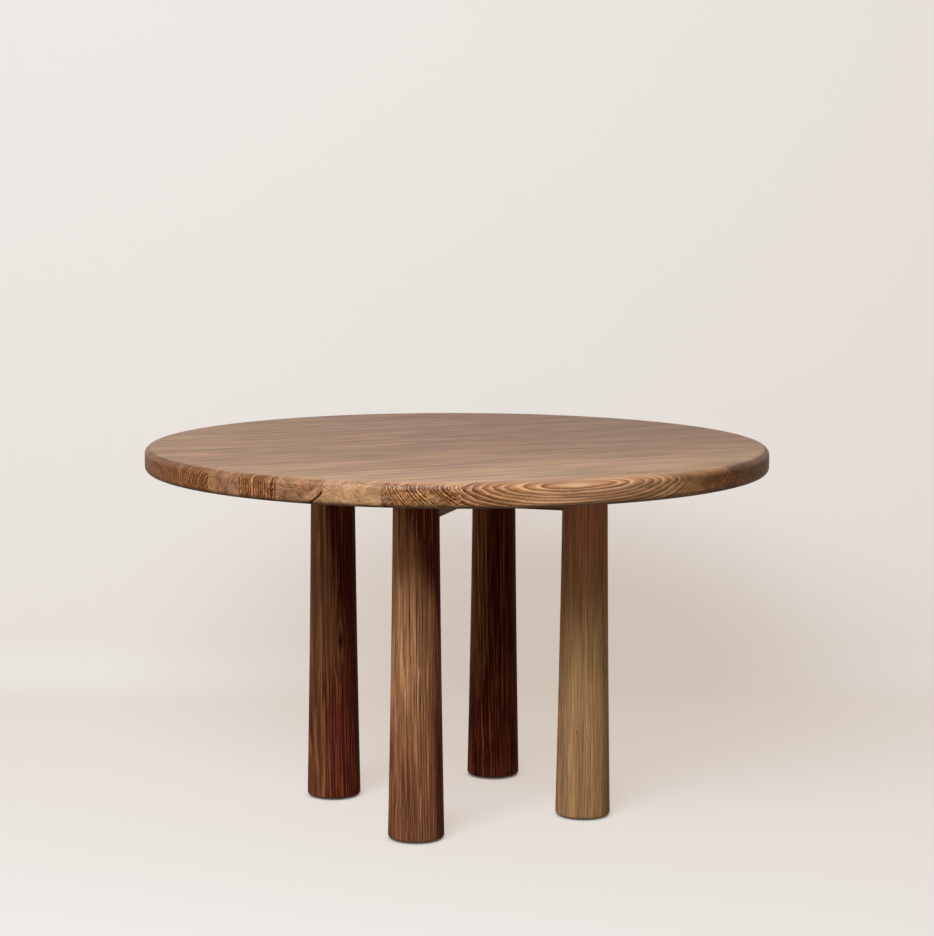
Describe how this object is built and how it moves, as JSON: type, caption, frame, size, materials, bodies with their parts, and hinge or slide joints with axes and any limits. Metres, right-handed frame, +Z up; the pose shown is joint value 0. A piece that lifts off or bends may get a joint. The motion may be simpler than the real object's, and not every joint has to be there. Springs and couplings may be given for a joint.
{
  "type": "round dining table",
  "caption": "Round solid ash dining table: a thick rounded-rim top of glued boards on turned, tapered legs joined by crossed rails, with levelling glides under the feet.",
  "frame": {"origin": "on the floor, under the middle of the round top", "axes": "+Z up; X along the grain of the top's boards; Y across the boards; the legs stand at the corners of a square whose sides run along X and Y"},
  "size_m": [1.26, 1.2598, 0.75],
  "materials": {
    "top_wood": "oiled satin",
    "spline_wood": "planed, unfinished",
    "leg_wood": "oiled satin",
    "rail_wood": "oiled satin",
    "steel": "zinc plated",
    "brass": "plain",
    "nylon": "black nylon"
  },
  "bodies": {
    "table": {"top_board_01": "top_wood", "top_board_02": "top_wood", "top_board_03": "top_wood", "top_board_04": "top_wood", "top_board_05": "top_wood", "top_board_06": "top_wood", "top_board_07": "top_wood", "top_board_08": "top_wood", "top_board_09": "top_wood", "top_board_10": "top_wood", "top_board_11": "top_wood", "top_board_12": "top_wood", "top_board_13": "top_wood", "top_board_14": "top_wood", "top_board_15": "top_wood", "top_board_16": "top_wood", "top_spline_01": "spline_wood", "top_spline_02": "spline_wood", "top_spline_03": "spline_wood", "top_spline_04": "spline_wood", "top_spline_05": "spline_wood", "top_spline_06": "spline_wood", "top_spline_07": "spline_wood", "top_spline_08": "spline_wood", "top_spline_09": "spline_wood", "top_spline_10": "spline_wood", "top_spline_11": "spline_wood", "top_spline_12": "spline_wood", "top_spline_13": "spline_wood", "top_spline_14": "spline_wood", "top_spline_15": "spline_wood", "leg_front_left": "leg_wood", "leg_front_right": "leg_wood", "leg_back_left": "leg_wood", "leg_back_right": "leg_wood", "rail_notched_above": "rail_wood", "rail_notched_below": "rail_wood", "top_bolts": "steel", "top_washers": "steel", "top_inserts": "brass", "foot_inserts": "brass"},
    "glide_front_left": {"glide_pad_front_left": "nylon", "glide_stud_front_left": "steel"},
    "glide_front_right": {"glide_pad_front_right": "nylon", "glide_stud_front_right": "steel"},
    "glide_back_left": {"glide_pad_back_left": "nylon", "glide_stud_back_left": "steel"},
    "glide_back_right": {"glide_pad_back_right": "nylon", "glide_stud_back_right": "steel"}
  },
  "joints": [
    {"name": "glide_front_left_screw", "type": "slide", "parent": "table", "child": "glide_front_left", "axis": [0, 0, -1], "range_m": [0, 0.01]},
    {"name": "glide_front_right_screw", "type": "slide", "parent": "table", "child": "glide_front_right", "axis": [0, 0, -1], "range_m": [0, 0.01]},
    {"name": "glide_back_left_screw", "type": "slide", "parent": "table", "child": "glide_back_left", "axis": [0, 0, -1], "range_m": [0, 0.01]},
    {"name": "glide_back_right_screw", "type": "slide", "parent": "table", "child": "glide_back_right", "axis": [0, 0, -1], "range_m": [0, 0.01]}
  ]
}
